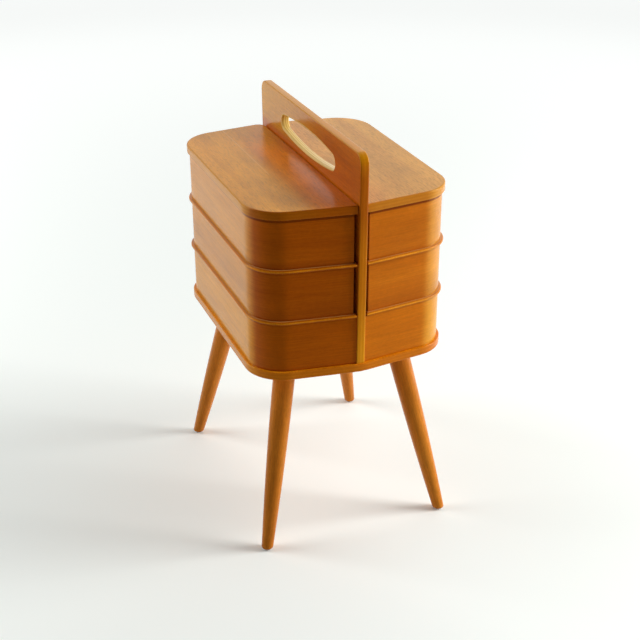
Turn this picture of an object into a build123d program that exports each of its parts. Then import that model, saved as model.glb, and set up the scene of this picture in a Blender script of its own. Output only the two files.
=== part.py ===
from build123d import *
import math
import os

os.makedirs("parts", exist_ok=True)

# A sewing box on four splayed legs. X runs across the handle board, Y along it, Z up from the floor.
# Each half of the box has a fixed bottom tray, two trays and a lid that swing out about one steel rod.
# All sizes are in millimetres.

# Outline of the case, at the outer face of its walls: each half's ends slope away from the handle board
case_half_width = 142.5
case_half_length = 187.0
end_slope = 0.14
corner_radius = 52.0
base_middle_radius = 80.0
wall_thickness = 5.0
rim_rounding = 1.2

# Heights, from the floor up
leg_height = 274.0
base_thickness = 12.0
bottom_wall_height = 71.0
tray_board_thickness = 5.0
tray_wall_height = 70.0
level_gap = 0.5
lid_thickness = 12.0

# How far each board stands out past the walls, and how its edge is rounded
base_overhang = 4.0
tray_board_overhang = 4.2
inner_overhang = 3.5
lid_overhang = 3.5
base_rounding = 1.5
tray_board_rounding = 2.1
lid_rounding = 1.8

# Handle board, which widens a little from its foot to its top
panel_thickness = 12.0
panel_foot_half_length = 188.0
panel_top_half_length = 194.0
panel_rise = 69.5
panel_corner_radius = 16.0
panel_rounding = 1.5

# Hand hole, an oval of four arcs
hole_half_length = 103.4
hole_half_height = 17.0
hole_end_radius = 10.0
hole_above_lid = 28.8
hole_rounding = 2.5

# Swinging levels: running gaps to the handle board, and the rounding of the corners that turn past it
board_gap = 1.5
lid_gap = 0.6
board_turning_radius = 11.0
lid_turning_radius = 13.0
front_corner_radius = 1.0

# Pivot rod at the back of each half
rod_radius = 3.0
pivot_x = 50.0
wood_behind_bore = 1.2
running_clearance = 0.05
glue_gap = 0.02
rod_below_nut = 2.0
rod_chamfer = 0.6
block_depth = 16.0
block_beyond_pivot = 12.0

# Bush in the lid, washers between the levels, flange nut under the base
bush_radius = 5.0
bush_length = 8.0
bush_bore_extra = 0.5
rod_end_play = 0.2
washer_radius = 6.0
washer_play = 0.05
nut_across_flats = 10.0
nut_height = 5.0
flange_radius = 7.0
flange_thickness = 1.5

# Dividers in the trays
divider_thickness = 4.0
divider_height = 58.0
divider_rounding = 1.2
top_divider_front_y = -65.0
top_divider_back_y = 55.0
top_divider_long_x = 76.0
middle_divider_y = -20.0

# Legs, from the foot on the floor to the underside of the base board, placed in from the case's sides and ends
foot_inset_x = 3.5
foot_inset_y = 11.6
leg_top_inset_x = 58.4
leg_top_inset_y = 71.2
leg_foot_radius = 8.3
leg_top_radius = 15.9
leg_swell = 1.7
foot_rounding = 2.0
tenon_radius = 9.0
tenon_root = 12.0

# Nail glides under the feet
glide_radius = 5.5
glide_height = 2.5
glide_rounding = 1.2
nail_radius = 1.25
nail_length = 14.0
nail_point = 1.0

# Countersunk screws up through the base board into the handle board
screw_radius = 2.0
screw_head_radius = 4.0
screw_length = 38.0
screw_point = 4.0
bore_spare = 1.0
screw_hole_clearance = 0.2
screw_sink = 0.2
screw_ys = (-140.0, -50.0, 50.0, 140.0)

# Levels worked out from the heights
base_top = leg_height + base_thickness
bottom_rim = base_top + bottom_wall_height
middle_floor = bottom_rim + level_gap
middle_rim = middle_floor + tray_board_thickness + tray_wall_height
top_floor = middle_rim + level_gap
top_rim = top_floor + tray_board_thickness + tray_wall_height
lid_underside = top_rim + level_gap
lid_top = lid_underside + lid_thickness
panel_top = lid_top + panel_rise
hole_height = lid_top + hole_above_lid

# Feet and leg tops
foot_x = case_half_width - foot_inset_x
foot_y = case_half_length - foot_inset_y
leg_top_x = case_half_width - leg_top_inset_x
leg_top_y = case_half_length - leg_top_inset_y

# Positions across the box
panel_face = panel_thickness / 2
board_inner_x = panel_face + board_gap
lid_inner_x = panel_face + lid_gap
wall_inner_x = board_inner_x + inner_overhang
tray_inside_x = wall_inner_x + wall_thickness
side_inside_x = case_half_width - wall_thickness

SIDES = (("left", -1), ("right", 1))


def end_y(grow, x):
    """Y of the back end at x, for the case outline grown by grow"""
    return case_half_length + grow * math.hypot(1, end_slope) - x * end_slope


pivot_y = end_y(-wall_thickness, pivot_x) - rod_radius - wood_behind_bore
block_front_y = end_y(-wall_thickness, pivot_x) - block_depth
block_side_x = pivot_x + block_beyond_pivot


def corners_by_distance(outline):
    """The corners of an outline, the ones nearest the handle board first"""
    return outline.vertices().sort_by(lambda corner: abs(corner.X))


def case_outline(grow):
    """The whole case outline, grown outwards by grow"""
    side = case_half_width + grow
    corner_y = end_y(grow, side)
    middle_y = end_y(grow, 0)
    with BuildSketch(mode=Mode.PRIVATE) as outline:
        with BuildLine():
            Polyline(
                (side, -corner_y),
                (side, corner_y),
                (0, middle_y),
                (-side, corner_y),
                (-side, -corner_y),
                (0, -middle_y),
                close=True,
            )
        make_face()
        fillet(corners_by_distance(outline)[:2], base_middle_radius)
        fillet(corners_by_distance(outline)[-4:], corner_radius + grow)
    return outline.sketch


def half_outline(hand, grow, inner_x, back_radius=0.0, front_radius=0.0):
    """One half of the case outline, from inner_x to its outer side, with its inner corners rounded"""
    side = case_half_width + grow
    corner_y = end_y(grow, side)
    inner_y = end_y(grow, inner_x)
    with BuildSketch(mode=Mode.PRIVATE) as outline:
        with BuildLine():
            Polyline(
                (hand * inner_x, -inner_y),
                (hand * inner_x, inner_y),
                (hand * side, corner_y),
                (hand * side, -corner_y),
                close=True,
            )
        make_face()
        fillet(corners_by_distance(outline)[2:], corner_radius + grow)
        if front_radius > 0:
            fillet(corners_by_distance(outline)[:2].sort_by(Axis.Y)[0], front_radius)
        if back_radius > 0:
            fillet(corners_by_distance(outline)[:2].sort_by(Axis.Y)[-1], back_radius)
    return outline.sketch


def save(piece, name):
    """Labels a finished piece and writes it as its own STEP file"""
    piece.part.label = name
    export_step(piece.part, f"parts/{name}.step")
    print(name, round(piece.part.volume))


level_tolerance = 0.01


def level_edges(piece, height):
    """The piece's edges that lie flat at a height"""
    return piece.edges().filter_by_position(Axis.Z, height - level_tolerance, height + level_tolerance)


# Legs, turned with a slight swell: the axis of each leg leans outwards from the base board to its foot
def leg_plane(x_sign, y_sign):
    """A plane at the foot, square to the leg's axis, with its normal up the leg"""
    foot = Vector(x_sign * foot_x, y_sign * foot_y, 0)
    top = Vector(x_sign * leg_top_x, y_sign * leg_top_y, leg_height)
    return Plane(origin=foot, z_dir=top - foot)


leg_length = math.sqrt((foot_x - leg_top_x) ** 2 + (foot_y - leg_top_y) ** 2 + leg_height**2)
leg_spare = 20.0
glide_offset = glide_height / leg_height
glide_x = foot_x + (leg_top_x - foot_x) * glide_offset
glide_y = foot_y + (leg_top_y - foot_y) * glide_offset


def leg_point(along):
    """A point of the leg's turned profile: its radius and its distance along the axis from the foot"""
    share = along / leg_length
    taper = leg_foot_radius + (leg_top_radius - leg_foot_radius) * share
    return (taper + 4 * leg_swell * share * (1 - share), along)


LEGS = (
    ("front_left", -1, -1),
    ("front_right", 1, -1),
    ("back_left", -1, 1),
    ("back_right", 1, 1),
)

for leg_name, x_sign, y_sign in LEGS:
    plane = leg_plane(x_sign, y_sign)
    with BuildPart() as leg:
        with BuildSketch(Plane(origin=plane.origin, x_dir=plane.x_dir, z_dir=-plane.y_dir)):
            with BuildLine():
                flank = ThreePointArc(
                    leg_point(-leg_spare), leg_point(leg_length / 2), leg_point(leg_length + leg_spare)
                )
                Polyline(flank @ 1, (0, leg_length + leg_spare), (0, -leg_spare), flank @ 0)
            make_face()
        revolve(axis=Axis(plane.origin, plane.z_dir))
        split(bisect_by=Plane.XY.offset(glide_height), keep=Keep.TOP)
        split(bisect_by=Plane.XY.offset(leg_height), keep=Keep.BOTTOM)
        fillet(level_edges(leg, glide_height), foot_rounding)
        with BuildSketch(plane.offset(leg_length - tenon_root)):
            Circle(tenon_radius)
        extrude(amount=tenon_root + 2 * base_thickness)
        split(bisect_by=Plane.XY.offset(base_top), keep=Keep.BOTTOM)
        with BuildSketch(Plane.XY.offset(glide_height)):
            with Locations((x_sign * glide_x, y_sign * glide_y)):
                Circle(nail_radius + glue_gap)
        extrude(amount=nail_length + bore_spare, mode=Mode.SUBTRACT)
    save(leg, f"leg_{leg_name}")

    with BuildPart() as glide:
        with BuildSketch():
            with Locations((x_sign * glide_x, y_sign * glide_y)):
                Circle(glide_radius)
        extrude(amount=glide_height)
        fillet(level_edges(glide, 0), glide_rounding)
        with BuildSketch(Plane.XY.offset(glide_height)):
            with Locations((x_sign * glide_x, y_sign * glide_y)):
                Circle(nail_radius)
        extrude(amount=nail_length)
        chamfer(level_edges(glide, glide_height + nail_length), nail_point)
    save(glide, f"glide_{leg_name}")

# Base board, bored for the leg tenons, the pivot rods and the panel screws
with BuildPart() as base_board:
    with BuildSketch(Plane.XY.offset(leg_height)):
        add(case_outline(base_overhang))
    extrude(amount=base_thickness)
    fillet(level_edges(base_board, leg_height) + level_edges(base_board, base_top), base_rounding)
    for leg_name, x_sign, y_sign in LEGS:
        with BuildSketch(leg_plane(x_sign, y_sign).offset(leg_length - leg_spare)):
            Circle(tenon_radius + glue_gap)
        extrude(amount=2 * leg_spare + base_thickness, mode=Mode.SUBTRACT)
    with Locations(*[(hand * pivot_x, pivot_y, base_top) for side, hand in SIDES]):
        Hole(rod_radius + glue_gap)
    with Locations(*[Plane((0, y, leg_height), z_dir=(0, 0, -1)) for y in screw_ys]):
        CounterSinkHole(screw_radius + screw_hole_clearance, screw_head_radius + screw_hole_clearance)
save(base_board, "base_board")

# Handle board
with BuildPart() as handle_panel:
    with BuildSketch(Plane.YZ):
        with BuildLine():
            Polyline(
                (-panel_foot_half_length, base_top),
                (-panel_top_half_length, panel_top),
                (panel_top_half_length, panel_top),
                (panel_foot_half_length, base_top),
                close=True,
            )
        face = make_face()
        fillet(face.vertices().group_by(Axis.Y)[0] + face.vertices().group_by(Axis.Y)[-1], panel_corner_radius)
    extrude(amount=panel_thickness / 2, both=True)
    broad_edges = handle_panel.edges().filter_by(Plane.YZ)
    fillet([edge for edge in broad_edges if edge.center().Z > base_top + level_tolerance], panel_rounding)

    # The long arcs of the hand hole are tangent to its end arcs
    end_centre = hole_half_length - hole_end_radius
    long_radius = (end_centre**2 + hole_half_height**2 - hole_end_radius**2) / (
        2 * (hole_half_height - hole_end_radius)
    )
    long_centre = hole_half_height - long_radius
    tangent = (Vector(end_centre, 0) - Vector(0, long_centre)).normalized()
    join = Vector(0, long_centre) + tangent * long_radius
    with BuildSketch(Plane.YZ):
        with Locations((0, hole_height)):
            with BuildSketch(mode=Mode.PRIVATE) as oval:
                with BuildLine():
                    ThreePointArc((-join.X, join.Y), (0, hole_half_height), (join.X, join.Y))
                    ThreePointArc((join.X, join.Y), (hole_half_length, 0), (join.X, -join.Y))
                    ThreePointArc((join.X, -join.Y), (0, -hole_half_height), (-join.X, -join.Y))
                    ThreePointArc((-join.X, -join.Y), (-hole_half_length, 0), (-join.X, join.Y))
                make_face()
            add(oval.sketch)
    extrude(amount=panel_thickness, both=True, mode=Mode.SUBTRACT)
    fillet(handle_panel.edges(Select.LAST).filter_by(Plane.YZ), hole_rounding)
    with Locations(*[Plane((0, y, base_top), z_dir=(0, 0, -1)) for y in screw_ys]):
        Hole(screw_radius + glue_gap, depth=screw_length - base_thickness + bore_spare)
save(handle_panel, "handle_panel")

# Screws, drawn as turned profiles with their heads just below the base board's underside
with BuildPart() as panel_screws:
    for y in screw_ys:
        with BuildSketch(Plane.XZ.offset(-y)):
            with BuildLine():
                Polyline(
                    (0, leg_height + screw_sink),
                    (screw_head_radius, leg_height + screw_sink),
                    (screw_radius, leg_height + screw_sink + screw_head_radius - screw_radius),
                    (screw_radius, leg_height + screw_length - screw_point),
                    (0, leg_height + screw_length),
                    close=True,
                )
            make_face()
        revolve(axis=Axis((0, y, 0), (0, 0, 1)))
save(panel_screws, "panel_screws")


def block_outline(hand, inner_x):
    """The tray's back inner corner inside the bent wall, which a block fills to carry the rod"""
    width = block_side_x - inner_x
    depth = case_half_length - block_front_y
    with BuildSketch(mode=Mode.PRIVATE) as outline:
        add(half_outline(hand, -wall_thickness, inner_x))
        with Locations((hand * (inner_x + width / 2), block_front_y + depth / 2)):
            Rectangle(width, depth, mode=Mode.INTERSECT)
    return outline.sketch


def wall_outline(hand, inner_x):
    """A strip of plywood bent round one half of the case, open towards the handle board"""
    with BuildSketch(mode=Mode.PRIVATE) as outline:
        add(half_outline(hand, 0, inner_x))
        add(half_outline(hand, -wall_thickness, inner_x - wall_thickness), mode=Mode.SUBTRACT)
    return outline.sketch


def inner_wall_outline(hand):
    """The straight wall of a swinging tray, which closes the bent one beside the handle board"""
    with BuildSketch(mode=Mode.PRIVATE) as outline:
        add(half_outline(hand, -wall_thickness, wall_inner_x))
        with Locations((hand * (wall_inner_x + wall_thickness / 2), 0)):
            Rectangle(wall_thickness, 2 * case_half_length, mode=Mode.INTERSECT)
    return outline.sketch


def drill_for_rod(hand, height, radius):
    """A bore right through, downwards from a height, on the pivot axis"""
    with Locations((hand * pivot_x, pivot_y, height)):
        Hole(radius)


def divider(side, name, corner_low, corner_high, floor):
    """An upright divider between two corners given in plan"""
    width = abs(corner_high[0] - corner_low[0])
    length = corner_high[1] - corner_low[1]
    centre = ((corner_low[0] + corner_high[0]) / 2, (corner_low[1] + corner_high[1]) / 2)
    with BuildPart() as board:
        with BuildSketch(Plane.XY.offset(floor)):
            with Locations(centre):
                Rectangle(width, length)
        extrude(amount=divider_height)
        top_edges = level_edges(board, floor + divider_height)
        fillet(top_edges.filter_by(Axis.X if width > length else Axis.Y), divider_rounding)
    save(board, f"{name}_{side}")


for side, hand in SIDES:
    # Bottom tray, fixed on the base board between it and the handle board
    with BuildPart() as bottom_wall:
        with BuildSketch(Plane.XY.offset(base_top)):
            add(wall_outline(hand, panel_face))
        extrude(amount=bottom_wall_height)
        fillet(level_edges(bottom_wall, bottom_rim), rim_rounding)
    save(bottom_wall, f"bottom_tray_wall_{side}")

    with BuildPart() as bottom_block:
        with BuildSketch(Plane.XY.offset(base_top)):
            add(block_outline(hand, panel_face))
        extrude(amount=bottom_wall_height)
        drill_for_rod(hand, bottom_rim, rod_radius + glue_gap)
    save(bottom_block, f"bottom_tray_block_{side}")

    # Middle and top trays, which swing
    for tray, floor in (("middle", middle_floor), ("top", top_floor)):
        inside_floor = floor + tray_board_thickness
        rim = inside_floor + tray_wall_height

        with BuildPart() as tray_board:
            with BuildSketch(Plane.XY.offset(floor)):
                add(
                    half_outline(
                        hand, tray_board_overhang, board_inner_x, board_turning_radius, front_corner_radius
                    )
                )
            extrude(amount=tray_board_thickness)
            fillet(level_edges(tray_board, floor) + level_edges(tray_board, inside_floor), tray_board_rounding)
            drill_for_rod(hand, inside_floor, rod_radius + running_clearance)
        save(tray_board, f"{tray}_tray_bottom_{side}")

        with BuildPart() as tray_wall:
            with BuildSketch(Plane.XY.offset(inside_floor)):
                add(wall_outline(hand, wall_inner_x))
            extrude(amount=tray_wall_height)
            fillet(level_edges(tray_wall, rim), rim_rounding)
        save(tray_wall, f"{tray}_tray_wall_{side}")

        with BuildPart() as inner_wall:
            with BuildSketch(Plane.XY.offset(inside_floor)):
                add(inner_wall_outline(hand))
            extrude(amount=tray_wall_height)
            top_edges = level_edges(inner_wall, rim)
            fillet(top_edges.filter_by(Axis.Y), rim_rounding)
        save(inner_wall, f"{tray}_tray_inner_wall_{side}")

        with BuildPart() as block:
            with BuildSketch(Plane.XY.offset(inside_floor)):
                add(block_outline(hand, tray_inside_x))
            extrude(amount=tray_wall_height)
            drill_for_rod(hand, rim, rod_radius + running_clearance)
        save(block, f"{tray}_tray_block_{side}")

    # Dividers run from wall to wall, and the long one between the two cross ones
    half = divider_thickness / 2
    cross_xs = sorted((hand * tray_inside_x, hand * side_inside_x))
    inside = top_floor + tray_board_thickness
    for name, y in (("front", top_divider_front_y), ("back", top_divider_back_y)):
        divider(side, f"top_tray_{name}_divider", (cross_xs[0], y - half), (cross_xs[1], y + half), inside)
    divider(
        side,
        "top_tray_long_divider",
        (hand * top_divider_long_x - half, top_divider_front_y + half),
        (hand * top_divider_long_x + half, top_divider_back_y - half),
        inside,
    )
    divider(
        side,
        "middle_tray_divider",
        (cross_xs[0], middle_divider_y - half),
        (cross_xs[1], middle_divider_y + half),
        middle_floor + tray_board_thickness,
    )

    # Lid, with a blind bore for its bush
    with BuildPart() as lid:
        with BuildSketch(Plane.XY.offset(lid_underside)):
            add(half_outline(hand, lid_overhang, lid_inner_x, lid_turning_radius, front_corner_radius))
        extrude(amount=lid_thickness)
        fillet(level_edges(lid, lid_top), lid_rounding)
        fillet(level_edges(lid, lid_underside), lid_rounding / 2)
        with Locations(Plane((hand * pivot_x, pivot_y, lid_underside), z_dir=(0, 0, -1))):
            Hole(bush_radius + glue_gap, depth=bush_length + bush_bore_extra)
    save(lid, f"lid_{side}")

    with BuildPart() as bush:
        with BuildSketch(Plane.XY.offset(lid_underside)):
            with Locations((hand * pivot_x, pivot_y)):
                Circle(bush_radius)
                Circle(rod_radius + running_clearance, mode=Mode.SUBTRACT)
        extrude(amount=bush_length)
    save(bush, f"lid_bush_{side}")

    # Pivot rod, its nut and the washers that hold the levels apart
    rod_foot = leg_height - nut_height - rod_below_nut
    rod_head = lid_underside + bush_length - rod_end_play
    with BuildPart() as rod:
        with BuildSketch(Plane.XY.offset(rod_foot)):
            with Locations((hand * pivot_x, pivot_y)):
                Circle(rod_radius)
        extrude(amount=rod_head - rod_foot)
        chamfer(level_edges(rod, rod_foot) + level_edges(rod, rod_head), rod_chamfer)
    save(rod, f"pivot_rod_{side}")

    with BuildPart() as nut:
        with BuildSketch(Plane.XY.offset(leg_height - nut_height)):
            with Locations((hand * pivot_x, pivot_y)):
                RegularPolygon(nut_across_flats / 2, 6, major_radius=False)
        extrude(amount=nut_height)
        with BuildSketch(Plane.XY.offset(leg_height - flange_thickness)):
            with Locations((hand * pivot_x, pivot_y)):
                Circle(flange_radius)
        extrude(amount=flange_thickness)
        drill_for_rod(hand, leg_height, rod_radius + glue_gap)
    save(nut, f"rod_nut_{side}")

    with BuildPart() as washers:
        for rim in (bottom_rim, middle_rim, top_rim):
            with BuildSketch(Plane.XY.offset(rim + washer_play)):
                with Locations((hand * pivot_x, pivot_y)):
                    Circle(washer_radius)
                    Circle(rod_radius + running_clearance, mode=Mode.SUBTRACT)
            extrude(amount=level_gap - 2 * washer_play)
    save(washers, f"level_washers_{side}")
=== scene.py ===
import math

import bmesh
import bpy
from mathutils import Matrix, Vector


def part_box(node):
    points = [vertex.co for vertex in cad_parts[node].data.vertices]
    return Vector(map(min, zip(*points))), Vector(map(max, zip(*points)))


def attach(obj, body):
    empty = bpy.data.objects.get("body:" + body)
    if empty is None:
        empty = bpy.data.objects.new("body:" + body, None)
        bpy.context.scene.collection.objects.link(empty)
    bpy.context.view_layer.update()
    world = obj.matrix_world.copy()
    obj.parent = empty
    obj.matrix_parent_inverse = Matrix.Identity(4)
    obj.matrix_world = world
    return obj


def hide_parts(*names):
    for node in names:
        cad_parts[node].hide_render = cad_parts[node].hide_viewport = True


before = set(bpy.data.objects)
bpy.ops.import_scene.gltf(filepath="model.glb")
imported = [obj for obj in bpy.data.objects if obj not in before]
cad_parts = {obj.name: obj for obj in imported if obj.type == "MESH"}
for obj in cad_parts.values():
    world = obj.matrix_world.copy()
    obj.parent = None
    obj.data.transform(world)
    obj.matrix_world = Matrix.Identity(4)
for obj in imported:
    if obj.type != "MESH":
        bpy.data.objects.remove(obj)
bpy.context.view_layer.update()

# A varnished sewing box on four splayed legs: a handle board between two stacks of bent plywood trays.
# Lengths are in metres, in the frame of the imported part: X across the handle board, Y along it, Z up.

SIDES = (("left", -1), ("right", 1))

# The photograph's camera, with its angles in radians and its focal length in the photograph's pixels
CAMERA_PLACE = (-0.6067, -1.5723, 1.1073)
CAMERA_YAW = 0.3758
CAMERA_PITCH = 0.4632
CAMERA_ROLL = -0.0018
FOCAL_PIXELS = 1241.47
PHOTO_PIXELS = 640
SENSOR = 36.0


def add_camera():
    data = bpy.data.cameras.new("camera")
    data.sensor_width = SENSOR
    data.lens = FOCAL_PIXELS / PHOTO_PIXELS * SENSOR
    camera = bpy.data.objects.new("camera", data)
    bpy.context.scene.collection.objects.link(camera)
    turn = Matrix.Rotation(-CAMERA_YAW, 4, "Z") @ Matrix.Rotation(math.pi / 2 - CAMERA_PITCH, 4, "X")
    camera.matrix_world = Matrix.Translation(CAMERA_PLACE) @ turn @ Matrix.Rotation(CAMERA_ROLL, 4, "Z")
    bpy.context.scene.camera = camera


# Node helpers
def colour(red, green, blue):
    return (red, green, blue, 1.0)


def grey(value):
    return colour(value, value, value)


def adder(tree):
    """A shorthand that adds a node to a tree and sets its properties and its sockets' values"""

    def add(kind, **values):
        node = tree.nodes.new("ShaderNode" + kind)
        for key, value in values.items():
            if hasattr(node, key):
                setattr(node, key, value)
            else:
                node.inputs[key.replace("_", " ")].default_value = value
        return node

    return add


def new_material(name):
    """A material with an empty tree but for its output, and the shorthands that link and add nodes"""
    material = bpy.data.materials.new(name)
    material.use_nodes = True
    tree = material.node_tree
    tree.nodes.clear()
    output = tree.nodes.new("ShaderNodeOutputMaterial")
    return material, tree.links.new, adder(tree), output


def math_node(link, add, operation, *operands):
    """The result of a Math node on numbers and sockets"""
    node = add("Math", operation=operation)
    for socket, operand in zip(node.inputs, operands):
        if isinstance(operand, (int, float)):
            socket.default_value = operand
        else:
            link(operand, socket)
    return node.outputs[0]


def mix_colour(link, add, factor, first, second, blend="MIX"):
    """The result of a colour Mix node on colours and sockets"""
    node = add("Mix", data_type="RGBA", blend_type=blend)
    for index, operand in ((0, factor), (6, first), (7, second)):
        if isinstance(operand, (int, float, tuple)):
            node.inputs[index].default_value = operand
        else:
            link(operand, node.inputs[index])
    return node.outputs[2]


def share_between(link, add, value, start, stop):
    """0 at start, 1 at stop, with a smooth change between them and none past them; start may be the higher"""
    node = add("MapRange", interpolation_type="SMOOTHSTEP", From_Min=start, From_Max=stop)
    link(value, node.inputs["Value"])
    return node.outputs[0]


def ramp(link, add, factor, stops):
    """A Color Ramp through (position, colour) stops"""
    node = add("ValToRGB")
    elements = node.color_ramp.elements
    while len(elements) < len(stops):
        elements.new(0.5)
    for element, (position, tone) in zip(elements, stops):
        element.position = position
        element.color = tone
    link(factor, node.inputs["Fac"])
    return node.outputs["Color"]


def shaded(link, add, tone, factor, positions, shades):
    """A tone times greys that follow a factor; shades are the greys' values at the positions"""
    greys = ramp(link, add, factor, [(position, grey(shade)) for position, shade in zip(positions, shades)])
    return mix_colour(link, add, 1.0, tone, greys, "MULTIPLY")


AXES = {"X": 0, "Y": 1, "Z": 2}


def grain_coordinates(link, add, grain, along, across, turn):
    """Object coordinates drawn out along the grain, scaled so that a noise has so many cells to a metre"""
    source = add("TexCoord").outputs["Object"]
    if any(turn):
        turned = add("Mapping", vector_type="POINT")
        turned.inputs["Rotation"].default_value = turn
        link(source, turned.inputs["Vector"])
        source = turned.outputs[0]
    stretch = add("Mapping", vector_type="POINT")
    if grain in AXES:
        scales = [across] * 3
        scales[AXES[grain]] = along
    else:
        scales = [along, along, across]
    stretch.inputs["Scale"].default_value = scales
    link(source, stretch.inputs["Vector"])
    return stretch.outputs[0]


def grain_noise(link, add, grain, scales, character, turn=(0, 0, 0), twist=0.0):
    """A noise drawn out along the grain; scales are (along, across), and character is (detail, roughness)"""
    node = add("TexNoise", noise_dimensions="3D", Scale=1.0, Distortion=twist)
    node.inputs["Detail"].default_value, node.inputs["Roughness"].default_value = character
    link(grain_coordinates(link, add, grain, *scales, turn), node.inputs["Vector"])
    return node.outputs["Fac"]


def axis_value(link, add, source, axis):
    """One axis of the object's own coordinates ("Object") or of its surface's direction ("Normal")"""
    parts = add("SeparateXYZ")
    link(add("TexCoord").outputs[source], parts.inputs[0])
    return parts.outputs[AXES[axis]]


def sideways(link, add):
    """Which way a surface's level direction looks: -1 left, 1 right, and 0 along the handle board"""
    level = add("VectorMath", operation="MULTIPLY")
    link(add("TexCoord").outputs["Normal"], level.inputs[0])
    level.inputs[1].default_value = (1.0, 1.0, 0.0)
    unit = add("VectorMath", operation="NORMALIZE")
    link(level.outputs[0], unit.inputs[0])
    parts = add("SeparateXYZ")
    link(unit.outputs[0], parts.inputs[0])
    return parts.outputs["X"]


def side_share(start, stop):
    """A share that is 0 at the case's ends and 1 where a wall faces sideways"""

    def share(link, add):
        return share_between(link, add, math_node(link, add, "ABSOLUTE", sideways(link, add)), start, stop)

    return share


# Tones, as linear colours: each set runs from the dark grain to the pale
# Painted light: the left and right lids are lit copies of one wood, and the right set's higher blue is a
# painted reflection of the pale room
LID_LIT_TONES = {
    "left": (colour(0.58, 0.222, 0.004), colour(0.67, 0.266, 0.007), colour(0.75, 0.315, 0.013)),
    "right": (colour(0.59, 0.258, 0.038), colour(0.66, 0.306, 0.047), colour(0.735, 0.358, 0.058)),
}
# Painted reflection: the handle board mirrored in the left lid beside it, as a redder patch of the lid's
# colour
PANEL_REFLECTION_TONES = (colour(0.52, 0.122, 0.001), colour(0.60, 0.149, 0.001), colour(0.68, 0.182, 0.001))
PANEL_TONES = (colour(0.43, 0.090, 0.001), colour(0.51, 0.115, 0.002), colour(0.59, 0.147, 0.004))
# Painted sheen: the upper back of the handle board's faces paler and yellower, as a grazing reflection of the
# pale room
PANEL_SHEEN_TONES = (colour(0.56, 0.232, 0.004), colour(0.64, 0.280, 0.006), colour(0.72, 0.328, 0.012))
# Painted light and shade: a wall's darker ends and paler, yellower sides stand in for the light and the
# grazing sheen on them, and the left and right sets are lit and shaded copies of one wood
END_LIT_TONES = {
    "left": (colour(0.33, 0.056, 0.001), colour(0.385, 0.070, 0.001), colour(0.44, 0.089, 0.002)),
    "right": (colour(0.42, 0.084, 0.001), colour(0.485, 0.104, 0.001), colour(0.55, 0.130, 0.002)),
}
SIDE_LIT_TONES = {
    "left": (colour(0.60, 0.235, 0.016), colour(0.68, 0.277, 0.020), colour(0.75, 0.318, 0.026)),
    "right": (colour(0.49, 0.186, 0.010), colour(0.55, 0.214, 0.014), colour(0.61, 0.245, 0.020)),
}
# Painted light and shade: the left and right tray boards are lit and shaded copies of one wood
BOARD_LIT_TONES = {
    "left": (colour(0.44, 0.095, 0.001), colour(0.50, 0.116, 0.001), colour(0.56, 0.142, 0.002)),
    "right": (colour(0.53, 0.135, 0.001), colour(0.60, 0.162, 0.002), colour(0.67, 0.195, 0.004)),
}
BASE_TONES = (colour(0.58, 0.150, 0.002), colour(0.67, 0.183, 0.004), colour(0.75, 0.225, 0.007))
LEG_TONES = (colour(0.49, 0.145, 0.013), colour(0.59, 0.188, 0.018), colour(0.69, 0.240, 0.026))
TRAY_WOOD_TONES = (colour(0.55, 0.30, 0.11), colour(0.66, 0.40, 0.17))
FIBRE_TONES = (colour(0.20, 0.05, 0.02), colour(0.26, 0.07, 0.03))
INSIDE_TONE = colour(0.58, 0.26, 0.070)
SEAM_TONE = colour(0.86, 0.46, 0.12)
STEEL_TONE = colour(0.56, 0.55, 0.53)
BRASS_TONE = colour(0.75, 0.55, 0.24)

# Plywood layers in an edge, as (light, dark)
EDGE_LAYERS = (colour(0.61, 0.205, 0.004), colour(0.55, 0.175, 0.002))
BASE_LAYERS = (colour(0.58, 0.160, 0.006), colour(0.52, 0.135, 0.004))
BARE_LAYERS = (colour(0.80, 0.580, 0.190), colour(0.62, 0.400, 0.090))
EDGE_LAYER_COUNT = 5
BARE_LAYER_COUNT = 7
LAYER_POSITIONS = (0.25, 0.75)
EDGE_COVER = 0.85
BASE_COVER = 0.7

# Painted light and shade that a tone is multiplied by: darker lid ends, lit and shaded side edges, a paler
# lowest tray, darker right faces, and shadow lines under the boards and lids
# Painted shade: the lids' end edges darker, more on the left
LID_END_PAINTED_SHADE = {"left": colour(0.57, 0.34, 0.30), "right": colour(0.80, 0.68, 0.70)}
# Painted light and shade: side edges paler on the left, and dimmer and greyer on the right against the strong
# light from that side
SIDE_EDGE_PAINTED_LIGHT = {"left": colour(1.12, 1.42, 1.0), "right": colour(0.90, 1.10, 3.0)}
# Painted light: the lowest tray made paler
LOWEST_LEVEL_PAINTED_LIGHT = colour(1.13, 1.20, 1.0)
# Painted shade: faces that look to the right made darker and greyer against the strong light from that side
RIGHT_SIDE_PAINTED_SHADE = colour(0.78, 0.86, 3.60)
# Painted shade: the handle board's right face darker and greyer against the strong light from that side
PANEL_RIGHT_PAINTED_SHADE = colour(0.80, 1.02, 12.0)
# Painted shadow lines under the tray boards and under the lids
UNDER_BOARD_PAINTED_SHADOW = grey(0.84)
UNDER_LID_PAINTED_SHADOW = colour(0.46, 0.30, 0.20)

# Painted light and shade up a tray board's edge, by shares of its thickness
BEAD_END_PAINTED_LIGHT = (
    (0.00, grey(0.80)),
    (0.36, grey(0.88)),
    (0.50, colour(1.42, 1.92, 5.00)),
    (0.70, colour(1.42, 1.92, 5.00)),
    (0.84, grey(0.95)),
)
BEAD_SIDE_PAINTED_LIGHT = (
    (0.00, colour(1.15, 1.20, 1.00)),
    (0.40, colour(1.10, 1.10, 1.00)),
    (0.62, colour(1.00, 0.90, 0.80)),
    (0.95, colour(0.97, 0.79, 0.70)),
)

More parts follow.
